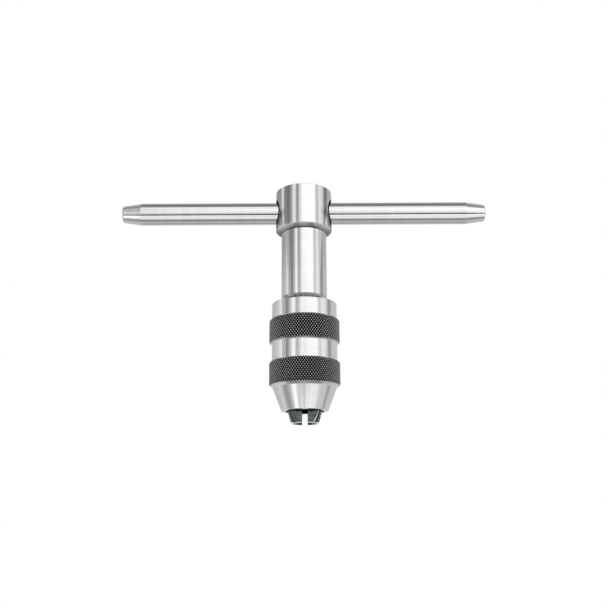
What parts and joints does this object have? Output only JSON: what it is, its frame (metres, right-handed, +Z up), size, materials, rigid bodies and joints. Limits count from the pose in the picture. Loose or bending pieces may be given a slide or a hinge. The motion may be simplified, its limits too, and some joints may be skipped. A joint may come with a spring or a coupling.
{
  "type": "t-handle tap wrench",
  "caption": "T-handle tap wrench: sliding round cross handle through a turned steel body, knurled clamping sleeve and a V-grooved jaw chuck that grips a tap's square.",
  "frame": {"origin": "centre of the jaw tips, on the chuck's axis", "axes": "+Z up the chuck's axis to the head, +X along the cross handle, +Y away from the side the picture shows"},
  "size_m": [0.124, 0.0232, 0.0791],
  "materials": {
    "turned_steel": "bright turned and polished",
    "handle_steel": "bright ground",
    "sleeve_steel": "satin turned",
    "jaw_steel": "blue-black oxide, ground tip faces bright",
    "spring_steel": "plain spring steel",
    "black_oxide": "black oxide, knurl crests worn bright"
  },
  "bodies": {
    "wrench_body": {"wrench_body": "turned_steel", "friction_plunger": "spring_steel", "friction_spring": "spring_steel", "friction_screw": "black_oxide", "jaw_spring_front": "spring_steel", "jaw_spring_back": "spring_steel"},
    "handle": {"handle_bar": "handle_steel"},
    "stop_ring": {"stop_ring": "spring_steel"},
    "sleeve": {"clamping_sleeve": "sleeve_steel"},
    "jaw_left": {"jaw_left": "jaw_steel"},
    "jaw_right": {"jaw_right": "jaw_steel"}
  },
  "joints": [
    {"name": "handle_slide", "type": "slide", "parent": "wrench_body", "child": "handle", "axis": [1, 0, 0], "range_m": [-0.045, 0.045]},
    {"name": "sleeve_lift", "type": "slide", "parent": "wrench_body", "child": "stop_ring", "axis": [0, 0, 1], "range_m": [-0.00355, 0.00216]},
    {"name": "sleeve_turn", "type": "hinge", "parent": "stop_ring", "child": "sleeve", "pos_m": [0, 0, 0.03765], "axis": [0, 0, 1], "range_deg": [-1005, 611]},
    {"name": "jaw_left_slide", "type": "slide", "parent": "wrench_body", "child": "jaw_left", "axis": [1, 0, 0], "range_m": [-0.0014, 0.00085], "deforming": ["jaw_spring_front", "jaw_spring_back"]},
    {"name": "jaw_right_slide", "type": "slide", "parent": "wrench_body", "child": "jaw_right", "axis": [-1, 0, 0], "range_m": [-0.0014, 0.00085]}
  ],
  "couplings": [
    {"joint": "sleeve_lift", "follows": "sleeve_turn", "m_per_rad": 0.00020213},
    {"joint": "jaw_left_slide", "follows": "sleeve_turn", "m_per_rad": 0.00007962},
    {"joint": "jaw_right_slide", "follows": "sleeve_turn", "m_per_rad": 0.00007962}
  ]
}
